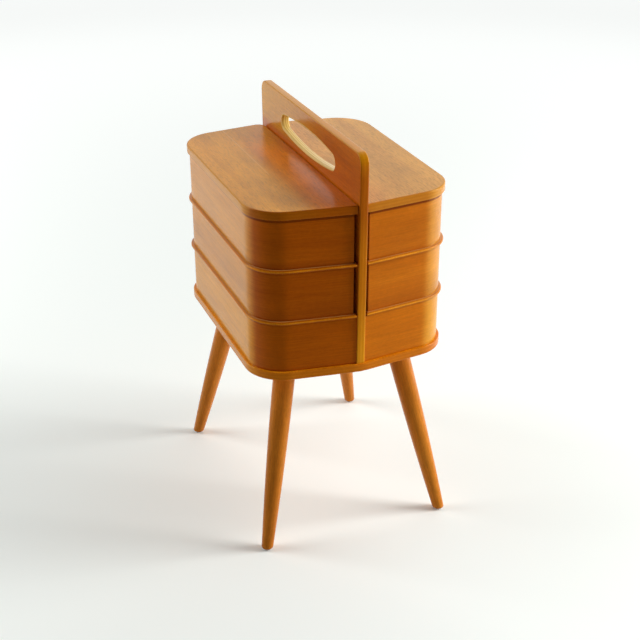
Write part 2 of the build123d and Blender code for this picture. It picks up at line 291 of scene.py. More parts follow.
# Painted light and shade up the handle board's edge, by heights in metres: paler towards the foot, darker
# higher up, with a painted highlight at the top
PANEL_EDGE_PAINTED_LIGHT = (
    (0.300, colour(1.32, 1.64, 3.00)),
    (0.390, colour(0.95, 0.91, 0.90)),
    (0.460, colour(0.91, 0.82, 0.80)),
    (0.510, colour(0.66, 0.44, 0.40)),
    (0.555, colour(0.66, 0.44, 0.40)),
    (0.573, colour(0.86, 0.74, 0.60)),
    (0.587, colour(1.10, 1.34, 0.80)),
)

# Where those tones and shades start and stop: by how far sideways a surface looks, by how squarely it looks
# up or down (the two faces), or by place
SIDE_SHARES = {"left": side_share(0.87, 1.04), "right": side_share(0.04, 0.46)}
BASE_SIDE_SHARE = side_share(0.80, 1.0)
RIGHT_SIDE_START = 0.84
BROAD_FACE_START = 0.35
BROAD_FACE_STOP = 0.80
FLAT_FACE_START = 0.97
# Where the handle board's painted sheen lies
PANEL_SHEEN_ALONG = (-0.10, 0.08)
PANEL_SHEEN_HEIGHT = (0.522, 0.540)
# Where the painted reflection of the handle board lies on the left lid
PANEL_REFLECTION_ACROSS = (-0.085, -0.045)
PANEL_REFLECTION_ALONG = (0.16, 0.04)
SEAM_X = -0.0755
SEAM_FRONT = -0.024
SEAM_FADE = 0.02
SEAM_HALF_WIDTH = 0.0014
SEAM_COVER = 0.6

# Heights: each level is as high as the next, and a painted shadow line starts and stops below each board and
# lid
BOARD_THICKNESS = 0.012
FIRST_BOARD_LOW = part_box("middle_tray_bottom_right")[0].z
NEXT_BOARD_LOW, NEXT_BOARD_HIGH = (corner.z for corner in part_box("top_tray_bottom_right"))
LEVEL_PITCH = NEXT_BOARD_LOW - FIRST_BOARD_LOW
BEAD_HEIGHT = NEXT_BOARD_HIGH - NEXT_BOARD_LOW
LID_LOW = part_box("lid_right")[0].z
LEVEL_BLEND = 0.001
UNDER_BOARD_SHADOW_BAND = (LEVEL_PITCH - 0.0040, LEVEL_PITCH - 0.0028)
UNDER_LID_SHADOW_BAND = (LID_LOW - 0.0052, LID_LOW - 0.0040)

# The varnish, and the relief that the grain gives it
VARNISH_TINT = colour(1.0, 0.45, 0.04)
VARNISH_INDEX = 1.36
RELIEF_STRENGTH = 0.25
RELIEF_DEPTH = 0.0002
PORE_RELIEF = 0.4

# The veneer's patterns: scales are cells to a metre (along, across) the grain, and each pattern also has the
# (detail, roughness) of its noise, and the positions on the noise where its shades start and stop
FIGURE_ALONG = 2.2
FIGURE_NOISE = (4.0, 0.6)
FIGURE_TWIST = 0.35
FIGURE_POSITIONS = (0.32, 0.50, 0.68)
LINE_ACROSS = 640.0
LINE_NOISE = (3.0, 0.65)
LINE_POSITIONS = (0.30, 0.62)
LINE_DEPTH = 0.18
LINE_TOP = 1.03
PORE_SCALES = (90.0, 700.0)
PORE_NOISE = (1.0, 0.5)
PORE_POSITIONS = (0.28, 0.50)
CLOUD_SCALES = (7.0, 13.0)
CLOUD_NOISE = (2.0, 0.5)
CLOUD_POSITIONS = (0.30, 0.62)
CLOUD_LOW = 1.05
CLOUD_TOP = 1.10
FLECK_SCALES = (190.0, 300.0)
FLECK_NOISE = (2.0, 0.6)
FLECK_POSITIONS = (0.30, 0.70)
FLECK_SHADES = (0.95, 1.06)

# Plain wood's and metal's patterns
PLAIN_FIGURE_SCALES = (3.0, 60.0)
PLAIN_TWIST = 0.4
PLAIN_LINE_SCALES = (20.0, 900.0)
PLAIN_LINE_NOISE = (3.0, 0.6)
PLAIN_LINE_SHADES = (0.84, 1.0)
PLAIN_ROUGHNESS = 0.5
SCRATCH_SCALES = (900.0, 300.0)
SCRATCH_NOISE = (3.0, 0.6)
SCRATCH_POSITIONS = (0.3, 0.7)
SCRATCH_SHADES = (0.8, 1.0)
STEEL_ROUGHNESS = 0.35
BRASS_ROUGHNESS = 0.3
METAL_ROUGHNESS_SPREAD = 0.2

# What is special about each wood beside its tones, as arguments of veneer
PANEL_LOOK = {"roughness": 0.15, "twist": 0.10}
LID_LOOK = {
    "roughness": 0.25,
    "figure_across": 55.0,
    "streak_along": 42.0,
    "streak": 0.85,
    "pore": 0.22,
    "cloudy": 0.24,
}
WALL_LOOK = {"roughness": 0.19, "twist": 0.05, "streak": 0.8, "pore": 0.05}
BOARD_LOOK = {"twist": 0.15}
BASE_LOOK = {"twist": 0.20}
LEG_LOOK = {"twist": 0.25}


def varnish(link, add, output, tone, relief_height, roughness):
    """The clear coat over a wood's colour: strong at a grazing view, amber when looked at squarely"""
    shader = add("BsdfPrincipled")
    link(tone, shader.inputs["Base Color"])
    shader.inputs["Roughness"].default_value = roughness
    shader.inputs["IOR"].default_value = VARNISH_INDEX
    shader.inputs["Specular Tint"].default_value = VARNISH_TINT
    relief = add("Bump")
    relief.inputs["Strength"].default_value = RELIEF_STRENGTH
    relief.inputs["Distance"].default_value = RELIEF_DEPTH
    link(relief_height, relief.inputs["Height"])
    link(relief.outputs["Normal"], shader.inputs["Normal"])
    link(shader.outputs[0], output.inputs["Surface"])


def veneer(name, grain, tones, other_tones=None, other_share=None, finish=None, turn=(0, 0, 0),
           roughness=0.22, twist=0.0, figure_across=30.0, streak_along=18.0,
           streak=1.0, pore=0.12, cloudy=0.10):
    """Varnished veneer with its grain along an axis, or level round a bent wall"""
    material, link, add, output = new_material(name)
    figure_scales = (FIGURE_ALONG, figure_across)
    figure = grain_noise(link, add, grain, figure_scales, FIGURE_NOISE, turn, FIGURE_TWIST + twist)
    lines = grain_noise(link, add, grain, (streak_along, LINE_ACROSS), LINE_NOISE, turn)
    pits = grain_noise(link, add, grain, PORE_SCALES, PORE_NOISE, turn)
    patches = grain_noise(link, add, grain, CLOUD_SCALES, CLOUD_NOISE, turn)
    flecks = grain_noise(link, add, grain, FLECK_SCALES, FLECK_NOISE, turn)
    tone = ramp(link, add, figure, list(zip(FIGURE_POSITIONS, tones)))
    if other_tones:
        other = ramp(link, add, figure, list(zip(FIGURE_POSITIONS, other_tones)))
        tone = mix_colour(link, add, other_share(link, add), tone, other)
    tone = shaded(link, add, tone, lines, LINE_POSITIONS, (1.0 - LINE_DEPTH * streak, LINE_TOP))
    tone = shaded(link, add, tone, pits, PORE_POSITIONS, (1.0 - pore, 1.0))
    tone = shaded(link, add, tone, patches, CLOUD_POSITIONS, (CLOUD_LOW - cloudy, CLOUD_TOP))
    tone = shaded(link, add, tone, flecks, FLECK_POSITIONS, FLECK_SHADES)
    if finish:
        tone = finish(link, add, tone)
    height = math_node(link, add, "ADD", lines, math_node(link, add, "MULTIPLY", pits, PORE_RELIEF))
    varnish(link, add, output, tone, height, roughness)
    return material


def laminate(link, add, depth, thickness, count, light, dark):
    """Plywood's layers, as soft stripes over a depth"""
    wave = math_node(link, add, "SINE", math_node(link, add, "MULTIPLY", depth, math.pi * count / thickness))
    stripes = math_node(link, add, "MULTIPLY_ADD", wave, 0.5, 0.5)
    return ramp(link, add, stripes, list(zip(LAYER_POSITIONS, (dark, light))))


def board_edge(link, add, tone, shades, share):
    """A board's varnished edge, multiplied by painted light and shade, and the bare plywood of the hand hole,
    where the mesh's attributes say so
    """
    edge = add("Attribute", attribute_name="ply_edge").outputs["Fac"]
    bare = add("Attribute", attribute_name="ply_bare").outputs["Fac"]
    depth = add("Attribute", attribute_name="ply_depth").outputs["Fac"]
    varnished = laminate(link, add, depth, BOARD_THICKNESS, EDGE_LAYER_COUNT, *EDGE_LAYERS)
    # Painted light and shade on the edge, from the given shades
    varnished = mix_colour(link, add, 1.0, varnished, ramp(link, add, share, shades), "MULTIPLY")
    tone = mix_colour(link, add, math_node(link, add, "MULTIPLY", edge, EDGE_COVER), tone, varnished)
    unvarnished = laminate(link, add, depth, BOARD_THICKNESS, BARE_LAYER_COUNT, *BARE_LAYERS)
    return mix_colour(link, add, bare, tone, unvarnished)


def base_layers_and_painted_light(link, add, tone):
    """The base board's layers, on the faces that don't look up or down, made paler along its sides by painted
    light
    """
    facing = math_node(link, add, "ABSOLUTE", axis_value(link, add, "Normal", "Z"))
    broad_face = share_between(link, add, facing, BROAD_FACE_START, BROAD_FACE_STOP)
    depth = axis_value(link, add, "Object", "Z")
    layers = laminate(link, add, depth, BOARD_THICKNESS, EDGE_LAYER_COUNT, *BASE_LAYERS)
    cover = math_node(link, add, "MULTIPLY_ADD", broad_face, -BASE_COVER, BASE_COVER)
    tone = mix_colour(link, add, cover, tone, layers)
    # Painted light: the base board's sides paler
    return mix_colour(link, add, BASE_SIDE_SHARE(link, add), tone, SIDE_EDGE_PAINTED_LIGHT["left"], "MULTIPLY")


def level_height(link, add):
    """How far a point lies above the underside of its own level's board"""
    above = math_node(link, add, "SUBTRACT", axis_value(link, add, "Object", "Z"), FIRST_BOARD_LOW)
    return math_node(link, add, "FLOORED_MODULO", above, LEVEL_PITCH)


def wall_painted_light_and_shade(link, add, tone):
    """Painted light and shade: a paler lowest tray, a darker right side, and a painted shadow line under each
    board and lid
    """
    height = axis_value(link, add, "Object", "Z")
    # Painted light making the lowest tray paler
    lowest = share_between(link, add, height, FIRST_BOARD_LOW + LEVEL_BLEND, FIRST_BOARD_LOW - LEVEL_BLEND)
    tone = mix_colour(link, add, lowest, tone, LOWEST_LEVEL_PAINTED_LIGHT, "MULTIPLY")
    # Painted shade on faces that look to the right
    right = share_between(link, add, sideways(link, add), RIGHT_SIDE_START, 1.0)
    tone = mix_colour(link, add, right, tone, RIGHT_SIDE_PAINTED_SHADE, "MULTIPLY")
    # A painted shadow line under each board
    under_board = share_between(link, add, level_height(link, add), *UNDER_BOARD_SHADOW_BAND)
    tone = mix_colour(link, add, under_board, tone, UNDER_BOARD_PAINTED_SHADOW, "MULTIPLY")
    # A painted shadow line under each lid
    under_lid = share_between(link, add, height, *UNDER_LID_SHADOW_BAND)
    return mix_colour(link, add, under_lid, tone, UNDER_LID_PAINTED_SHADOW, "MULTIPLY")


def bead_painted_light_and_faces(share):
    """A tray board's plain faces, and its edge with painted light and shade: a painted highlight along the
    nose and a darker foot at the ends, and paler below on the sides
    """

    def finish(link, add, tone):
        height = math_node(link, add, "DIVIDE", level_height(link, add), BEAD_HEIGHT)
        # Painted highlight and shade up the bead, at the ends and on the sides
        end = ramp(link, add, height, BEAD_END_PAINTED_LIGHT)
        side = ramp(link, add, height, BEAD_SIDE_PAINTED_LIGHT)
        shade = mix_colour(link, add, share(link, add), end, side)
        tone = mix_colour(link, add, 1.0, tone, shade, "MULTIPLY")
        facing = math_node(link, add, "ABSOLUTE", axis_value(link, add, "Normal", "Z"))
        flat = share_between(link, add, facing, FLAT_FACE_START, 1.0)
        return mix_colour(link, add, flat, tone, INSIDE_TONE)

    return finish


def panel_sheen_share(link, add):
    """1 where the upper back of the handle board shows a painted sheen, paler and yellower"""
    along = share_between(link, add, axis_value(link, add, "Object", "Y"), *PANEL_SHEEN_ALONG)
    height = share_between(link, add, axis_value(link, add, "Object", "Z"), *PANEL_SHEEN_HEIGHT)
    return math_node(link, add, "MULTIPLY", along, height)


def panel_edges_and_painted_light(link, add, tone):
    """The handle board's right face, darkened by painted shade, and its edges, with painted light that makes
    them paler towards the foot and at the top
    """
    # Painted shade on the handle board's right face
    right = share_between(link, add, axis_value(link, add, "Normal", "X"), 0.0, 1.0)
    tone = mix_colour(link, add, right, tone, PANEL_RIGHT_PAINTED_SHADE, "MULTIPLY")
    return board_edge(link, add, tone, PANEL_EDGE_PAINTED_LIGHT, axis_value(link, add, "Object", "Z"))


def lid_seam_and_painted_edge(side, share):
    """A lid's edge, with painted shade on its ends and painted light and shade on its sides, and the join in
    the left lid's veneer
    """

    def finish(link, add, tone):
        x = axis_value(link, add, "Object", "X")
        y = axis_value(link, add, "Object", "Y")
        off_seam = math_node(link, add, "ABSOLUTE", math_node(link, add, "SUBTRACT", x, SEAM_X))
        near = share_between(link, add, off_seam, SEAM_HALF_WIDTH, 0.0)
        behind = share_between(link, add, y, SEAM_FRONT - SEAM_FADE, SEAM_FRONT)
        seam = math_node(link, add, "MULTIPLY", near, behind)
        tone = mix_colour(link, add, math_node(link, add, "MULTIPLY", seam, SEAM_COVER), tone, SEAM_TONE)
        # Painted shade on the lid's end edges, and painted light and shade on its side edges
        shades = ((0.0, LID_END_PAINTED_SHADE[side]), (1.0, SIDE_EDGE_PAINTED_LIGHT[side]))
        return board_edge(link, add, tone, shades, share(link, add))

    return finish


def panel_reflection_share(link, add):
    """1 on the painted reflection of the handle board in the left lid, beside the board, and 0 towards the
    lid's back end
    """
    across = share_between(link, add, axis_value(link, add, "Object", "X"), *PANEL_REFLECTION_ACROSS)
    along = share_between(link, add, axis_value(link, add, "Object", "Y"), *PANEL_REFLECTION_ALONG)
    return math_node(link, add, "MULTIPLY", across, along)


def plain_wood(name, tones):
    """Wood inside the trays, or fibre, with a thin dull finish and its grain along the handle board"""
    material, link, add, output = new_material(name)
    figure = grain_noise(link, add, "Y", PLAIN_FIGURE_SCALES, FIGURE_NOISE, twist=PLAIN_TWIST)
    lines = grain_noise(link, add, "Y", PLAIN_LINE_SCALES, PLAIN_LINE_NOISE)
    tone = ramp(link, add, figure, list(zip((FIGURE_POSITIONS[0], FIGURE_POSITIONS[-1]), tones)))
    tone = shaded(link, add, tone, lines, LINE_POSITIONS, PLAIN_LINE_SHADES)
    varnish(link, add, output, tone, lines, PLAIN_ROUGHNESS)
    return material


def metal(name, tone, roughness):
    material, link, add, output = new_material(name)
    scratches = grain_noise(link, add, "Z", SCRATCH_SCALES, SCRATCH_NOISE)
    shader = add("BsdfPrincipled")
    link(shaded(link, add, tone, scratches, SCRATCH_POSITIONS, SCRATCH_SHADES), shader.inputs["Base Color"])
    shader.inputs["Metallic"].default_value = 1.0
    smoothest = roughness - METAL_ROUGHNESS_SPREAD / 2
    rough = math_node(link, add, "MULTIPLY_ADD", scratches, METAL_ROUGHNESS_SPREAD, smoothest)
    link(rough, shader.inputs["Roughness"])
    link(shader.outputs[0], output.inputs["Surface"])
    return material


# A leg's axis, from the middle of its foot to the middle of its top, for the right leg at the back
LEG_FOOT = (0.139, 0.1754, 0.0)
LEG_TOP = (0.0841, 0.1158, 0.274)


def leg_material(name):
    """A turned leg's wood, with its grain along the leg's own axis"""
    axis = Vector(LEG_TOP) - Vector(LEG_FOOT)
    axis.x *= 1 if name.endswith("right") else -1
    axis.y *= 1 if "back" in name else -1
    turn = axis.rotation_difference(Vector((0, 0, 1))).to_euler()
    return veneer(f"{name}_beech", "Z", LEG_TONES, turn=tuple(turn), **LEG_LOOK)


# The case's outline: ends that slope away from the handle board, and round corners
HALF_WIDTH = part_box("bottom_tray_wall_right")[1].x
CASE_HALF_LENGTH = 0.187
END_SLOPE = 0.14
END_SLANT = math.hypot(1, END_SLOPE)
END_TURN = math.atan2(1, END_SLOPE)
CORNER_RADIUS = 0.052
CORNER_X = HALF_WIDTH - CORNER_RADIUS
CORNER_Y = CASE_HALF_LENGTH - END_SLOPE * CORNER_X - CORNER_RADIUS * END_SLANT
WALL_THICKNESS = 0.005
ARC_STEPS = 24
SMALL_ARC_STEPS = 10
STRAIGHT_STEPS = 8


def arc(centre, radius, start, stop, steps):
    """Points on an arc, without its last one"""
    turns = [start + (stop - start) * step / steps for step in range(steps)]
    return [(centre[0] + radius * math.cos(turn), centre[1] + radius * math.sin(turn)) for turn in turns]


def straight(start, stop, steps):
    """Points on a straight line, without its last one"""
    run_x, run_y = stop[0] - start[0], stop[1] - start[1]
    shares = [step / steps for step in range(steps)]
    return [(start[0] + run_x * share, start[1] + run_y * share) for share in shares]


def end_y(grow, x):
    return CASE_HALF_LENGTH + grow * END_SLANT - x * END_SLOPE


def outer_line(grow, start):
    """From a point on the back end round the outer corner to the middle of the side"""
    corner = arc((CORNER_X, CORNER_Y), CORNER_RADIUS + grow, END_TURN, 0, ARC_STEPS)
    side = (HALF_WIDTH + grow, CORNER_Y)
    return straight(start, corner[0], STRAIGHT_STEPS) + corner + straight(side, (side[0], 0), STRAIGHT_STEPS)


def open_outline(hand, grow, inner_x):
    """From the back inner end of one half round its outer side to the front inner end, grown by grow"""
    back = outer_line(grow, (inner_x, end_y(grow, inner_x)))
    back.append((HALF_WIDTH + grow, 0))
    return [(hand * x, y) for x, y in back + [(x, -y) for x, y in reversed(back[:-1])]]


def closed_outline(hand, grow, inner_x, back_radius, front_radius):
    """One half's whole outline, with its two inner corners rounded"""

    def half_outline(radius):
        centre = (inner_x + radius, end_y(grow, inner_x + radius) - radius * END_SLANT)
        corner = arc(centre, radius, math.pi, END_TURN, SMALL_ARC_STEPS)
        meet = (centre[0] + radius * math.cos(END_TURN), centre[1] + radius * math.sin(END_TURN))
        return corner + outer_line(grow, meet)

    front = [(x, -y) for x, y in reversed(half_outline(front_radius))]
    outline = half_outline(back_radius) + [(HALF_WIDTH + grow, 0)] + front
    return [(hand * x, y) for x, y in outline]


# Eased edges: a support ring keeps each broad face flat beside its edge
ROUNDING_STEPS = 5
SUPPORT = 0.0006
SHARP_ANGLE = math.radians(40)


def eased_edge(radius):
    """(inset, drop) pairs round an eased edge, from the side face to the broad face"""
    turns = [math.pi / 2 * step / ROUNDING_STEPS for step in range(ROUNDING_STEPS + 1)]
    return [(radius * (1 - math.cos(turn)), radius * (1 - math.sin(turn))) for turn in turns]


def eased_profile(low, high, low_rounding, high_rounding):
    """(inset, height) pairs up a board's edge, from one broad face to the other"""
    profile = [(low_rounding + SUPPORT, low)]
    profile += [(inset, low + drop) for inset, drop in reversed(eased_edge(low_rounding))]
    profile += [(inset, high - drop) for inset, drop in eased_edge(high_rounding)]
    profile.append((high_rounding + SUPPORT, high))
    return profile


class Builder:
    """Collects rings of points into one mesh, and keeps how deep in the plywood each face's corners lie"""

    def __init__(self):
        self.mesh = bmesh.new()
        self.edge = self.mesh.loops.layers.float.new("ply_edge")
        self.depth = self.mesh.loops.layers.float.new("ply_depth")
        self.bare = self.mesh.loops.layers.float.new("ply_bare")

    def ring(self, points):
        return [self.mesh.verts.new(point) for point in points]

    def face(self, corners, edge, depths, bare=0.0):
        made = self.mesh.faces.new(corners)
        made.smooth = True
        for loop, depth in zip(made.loops, depths):
            loop[self.edge] = edge
            loop[self.depth] = depth
            loop[self.bare] = bare

    def band(self, first, second, edge, depths, closed=True, bare=0.0):
        """The faces between two rings, with the depth in the plywood of each"""
        count = len(first)
        for index in range(count if closed else count - 1):
            following = (index + 1) % count
            corners = (first[index], first[following], second[following], second[index])
            self.face(corners, edge, (depths[0], depths[0], depths[1], depths[1]), bare)

    def eased_side(self, profile, ring_at, depth_at, bare=0.0):
        """A board's side with its eased edges, and its first and last ring; ring_at gives a ring's points"""
        rings = [self.ring(ring_at(inset, height)) for inset, height in profile]
        last = len(rings) - 2
        for index, (first, second) in enumerate(zip(rings, rings[1:])):
            edge = 0.0 if index in (0, last) else 1.0
            depths = (depth_at(profile[index][1]), depth_at(profile[index + 1][1]))
            self.band(first, second, edge, depths, bare=bare)
        return rings[0], rings[-1]

    def fill(self, loops, normal):
        """A flat face between an outer ring and the rings of its holes"""
        edges = []
        for loop in loops:
            for index, vertex in enumerate(loop):
                pair = (vertex, loop[(index + 1) % len(loop)])
                edges.append(self.mesh.edges.get(pair) or self.mesh.edges.new(pair))
        made = bmesh.ops.triangle_fill(self.mesh, use_beauty=True, edges=edges, normal=normal)
        for item in made["geom"]:
            if isinstance(item, bmesh.types.BMFace):
                item.smooth = True

    def finish(self, name, material, body, slot, node):
        """The mesh as a piece that rides a body in the place of a node of the frame"""
        bmesh.ops.recalc_face_normals(self.mesh, faces=self.mesh.faces)
        mesh = bpy.data.meshes.new(name)
        self.mesh.to_mesh(mesh)
        self.mesh.free()
        mesh.set_sharp_from_angle(angle=SHARP_ANGLE)
        mesh.materials.append(material)
        piece = bpy.data.objects.new(name, mesh)
        bpy.context.scene.collection.objects.link(piece)
        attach(piece, body)
        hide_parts(node)


def centre_of(node):
    """The middle of a node's box, and half its size"""
    low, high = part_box(node)
    return (low + high) / 2, (high - low) / 2


def inner_x_of(node):
    """How far a piece of one half stands from the middle of the handle board"""
    low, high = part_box(node)
    return min(abs(low.x), abs(high.x))


def body_of(tray, side):
    """The bottom trays are fixed, and each of the others swings by itself"""
    return "stand" if tray == "bottom" else f"{tray}_tray_{side}"


# Lids and tray boards: plates that turn on the rods, so their inner back corners are rounded
LID_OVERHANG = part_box("lid_right")[1].x - HALF_WIDTH
BOARD_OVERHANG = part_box("top_tray_bottom_right")[1].x - HALF_WIDTH
LID_TURNING_RADIUS = 0.013
BOARD_TURNING_RADIUS = 0.011
FRONT_RADIUS = 0.001
LEAST_RADIUS = 0.0002
LID_ROUNDING = 0.0018
LID_LOW_ROUNDING = 0.0009
BOARD_ROUNDING = 0.0021
BUSH_CLEARANCE = 0.00002
BUSH_SPARE = 0.0005
ROD_CLEARANCE = 0.00005


def half_board(hand, grow, inner_x, turning_radius):
    """An outline function for a lid or a tray board of one side, which draws it in by an inset"""

    def outline(inset):
        turning = max(turning_radius - inset, LEAST_RADIUS)
        front = max(FRONT_RADIUS - inset, LEAST_RADIUS)
        return closed_outline(hand, grow - inset, inner_x + inset, turning, front)

    return outline


def make_plate(builder, outline, profile, bore):
    """A flat board with eased edges, bored from below; a bore is (x, y, radius, depth)"""
    low, high = profile[0][1], profile[-1][1]

    def ring_at(inset, height):
        return [(x, y, height) for x, y in outline(inset)]

    low_ring, high_ring = builder.eased_side(profile, ring_at, lambda height: high - height)
    x, y, radius, depth = bore
    circle = arc((x, y), radius, 0, 2 * math.pi, 2 * ARC_STEPS)
    mouth = builder.ring([(px, py, low) for px, py in circle])
    end = builder.ring([(px, py, min(low + depth, high)) for px, py in circle])
    builder.band(mouth, end, 1.0, (high - low, high - low - depth))
    high_loops = [high_ring]
    if low + depth < high:
        builder.fill([end], (0, 0, 1))
    else:
        high_loops.append(end)
    builder.fill([low_ring, mouth], (0, 0, -1))
    builder.fill(high_loops, (0, 0, 1))


def make_lids(materials):
    for side, hand in SIDES:
        node = f"lid_{side}"
        low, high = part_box(node)
        bush, bush_half = centre_of(f"lid_bush_{side}")
        bore = (bush.x, bush.y, bush_half.x + BUSH_CLEARANCE, 2 * bush_half.z + BUSH_SPARE)
        outline = half_board(hand, LID_OVERHANG, inner_x_of(node), LID_TURNING_RADIUS)
        builder = Builder()
        make_plate(builder, outline, eased_profile(low.z, high.z, LID_LOW_ROUNDING, LID_ROUNDING), bore)
        builder.finish(f"lid_board_{side}", materials[side], node, "lid_plywood", node)


def make_tray_boards(materials):
    for side, hand in SIDES:
        rod, rod_half = centre_of(f"pivot_rod_{side}")
        for tray in ("middle", "top"):
            node = f"{tray}_tray_bottom_{side}"
            low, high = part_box(node)
            bore = (rod.x, rod.y, rod_half.x + ROD_CLEARANCE, high.z - low.z)
            outline = half_board(hand, BOARD_OVERHANG, inner_x_of(node), BOARD_TURNING_RADIUS)
            builder = Builder()
            make_plate(builder, outline, eased_profile(low.z, high.z, BOARD_ROUNDING, BOARD_ROUNDING), bore)
            name, body = f"{tray}_board_{side}", body_of(tray, side)
            builder.finish(name, materials[side], body, "tray_board_plywood", node)


# Bent walls
RIM_ROUNDING = 0.0012


def bent_wall(hand, inner_x, low, high):
    """A strip bent round one half, with its rim eased on both sides"""
    section = [(0.0, low)]
    section += [(-inset, high - drop) for inset, drop in eased_edge(RIM_ROUNDING)]
    section += [(inset - WALL_THICKNESS, high - drop) for inset, drop in reversed(eased_edge(RIM_ROUNDING))]
    section.append((-WALL_THICKNESS, low))
    builder = Builder()
    lines = []
    for grow, height in section:
        lines.append(builder.ring([(x, y, height) for x, y in open_outline(hand, grow, inner_x)]))
    last = len(lines) - 1
    for index, line in enumerate(lines):
        following = (index + 1) % len(lines)
        edge = 0.0 if index in (0, last - 1) else 1.0
        depths = (-section[index][0], -section[following][0])
        builder.band(line, lines[following], edge, depths, closed=False)
    for end in (0, -1):
        builder.face([line[end] for line in lines], 1.0, [-grow for grow, _ in section])
    return builder


def make_walls(materials):
    for side, hand in SIDES:
        for tray in ("bottom", "middle", "top"):
            node = f"{tray}_tray_wall_{side}"
            low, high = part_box(node)
            builder = bent_wall(hand, inner_x_of(node), low.z, high.z)
            name, body = f"{tray}_bent_wall_{side}", body_of(tray, side)
            builder.finish(name, materials[side], body, "wall_plywood", node)


# The handle board, drawn in its own plane (Y, Z), and its hand hole of four arcs
PANEL_ROUNDING = 0.0015
PANEL_CORNER = 0.016
PANEL_FOOT_HALF = 0.188
PANEL_TOP_HALF = 0.194
HOLE_HALF_LENGTH = 0.1034
HOLE_HALF_HEIGHT = 0.017
HOLE_END_RADIUS = 0.010
HOLE_ABOVE_LID = 0.0288
HOLE_ROUNDING = 0.0025


def panel_outline(inset, foot, top):
    """From the back foot over the top to the front foot, drawn in by inset but for the foot's own line"""
    lean = math.atan2(PANEL_TOP_HALF - PANEL_FOOT_HALF, top - foot)
    step_in = 1 / math.cos(lean)

    def edge_y(z, depth):
        return PANEL_FOOT_HALF + (z - foot) * math.tan(lean) - depth * step_in

    corner_z = top - PANEL_CORNER
    centre = (edge_y(corner_z, PANEL_CORNER), corner_z)
    back = [(edge_y(foot, inset), foot)]
    back += arc(centre, PANEL_CORNER - inset, -lean, math.pi / 2, ARC_STEPS)
    back.append((centre[0], top - inset))
    return back + [(-y, z) for y, z in reversed(back)]


def hole_outline(outset, centre_z):
    """The hand hole, an oval whose long arcs meet its end arcs smoothly"""
    end = HOLE_HALF_LENGTH - HOLE_END_RADIUS
    rise = HOLE_HALF_HEIGHT - HOLE_END_RADIUS
    long_radius = (end**2 + HOLE_HALF_HEIGHT**2 - HOLE_END_RADIUS**2) / (2 * rise)
    drop = long_radius - HOLE_HALF_HEIGHT
    meet = math.atan2(drop, end)
    quarter = arc((end, 0), HOLE_END_RADIUS + outset, 0, meet, SMALL_ARC_STEPS)
    quarter += arc((0, -drop), long_radius + outset, meet, math.pi / 2, ARC_STEPS)
    top = quarter + [(0, HOLE_HALF_HEIGHT + outset)] + [(-y, z) for y, z in reversed(quarter)]
    whole = top + [(y, -z) for y, z in reversed(top[1:-1])]
    return [(y, centre_z + z) for y, z in whole]


def make_panel(material):
    low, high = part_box("handle_panel")
    hole_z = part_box("lid_right")[1].z + HOLE_ABOVE_LID
    builder = Builder()

    def cut_through(outline, rounding, bare):
        """A side from the left face to the right one, and its ring on each face"""
        profile = eased_profile(low.x, high.x, rounding, rounding)

        def ring_at(inset, x):
            return [(x, y, z) for y, z in outline(inset)]

        return builder.eased_side(profile, ring_at, lambda x: x - low.x, bare)

    outer = cut_through(lambda inset: panel_outline(inset, low.z, high.z), PANEL_ROUNDING, 0.0)
    hole = cut_through(lambda inset: hole_outline(inset, hole_z), HOLE_ROUNDING, 1.0)
    builder.fill([outer[0], hole[0]], (-1, 0, 0))
    builder.fill([outer[1], hole[1]], (1, 0, 0))
    builder.finish("handle_board", material, "stand", "panel_plywood", "handle_panel")


def make_woods():
    """The varnished woods of the remade pieces, as lit and shaded copies for the two sides where the painted
    light differs
    """
    panel = veneer("panel_veneer", "Y", PANEL_TONES, other_tones=PANEL_SHEEN_TONES,
                   other_share=panel_sheen_share, finish=panel_edges_and_painted_light, **PANEL_LOOK)
    # Only the left lid carries the painted reflection of the handle board
    panel_reflections = {"left": PANEL_REFLECTION_TONES, "right": None}
    lids, boards, walls = {}, {}, {}
    for side, share in SIDE_SHARES.items():
        lids[side] = veneer(f"lid_veneer_{side}", "Y", LID_LIT_TONES[side], other_tones=panel_reflections[side],
                            other_share=panel_reflection_share, finish=lid_seam_and_painted_edge(side, share), **LID_LOOK)
        boards[side] = veneer(f"board_veneer_{side}", "Y", BOARD_LIT_TONES[side], other_tones=SIDE_LIT_TONES[side],
                              other_share=share, finish=bead_painted_light_and_faces(share), **BOARD_LOOK)
        walls[side] = veneer(f"wall_veneer_{side}", "round", END_LIT_TONES[side], other_tones=SIDE_LIT_TONES[side],
                             other_share=share, finish=wall_painted_light_and_shade, **WALL_LOOK)
    return panel, lids, boards, walls


def dress_nodes(panel, lid, board, wall):
    """A material for each slot of the frame's own nodes, and for each leg one of its own"""
    by_slot = {
        "lid_plywood": lid,
        "panel_plywood": panel,
        "wall_plywood": wall,
        "tray_board_plywood": board,
        "base_plywood": veneer("base_veneer", "Y", BASE_TONES, finish=base_layers_and_painted_light, **BASE_LOOK),
        "inner_wood": plain_wood("tray_wood", TRAY_WOOD_TONES),
        "steel": metal("steel", STEEL_TONE, STEEL_ROUGHNESS),
        "brass": metal("brass", BRASS_TONE, BRASS_ROUGHNESS),
        "washer_fibre": plain_wood("washer_fibre", FIBRE_TONES),
    }
    for name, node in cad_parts.items():
        for slot in node.material_slots:
            if name.startswith("leg_"):
                slot.material = leg_material(name)
            else:
                slot.material = by_slot[slot.material.name.split(".")[0]]


def make_pieces():
    panel, lids, boards, walls = make_woods()
    dress_nodes(panel, lids["right"], boards["right"], walls["right"])
    make_lids(lids)
    make_tray_boards(boards)
    make_walls(walls)
    make_panel(panel)


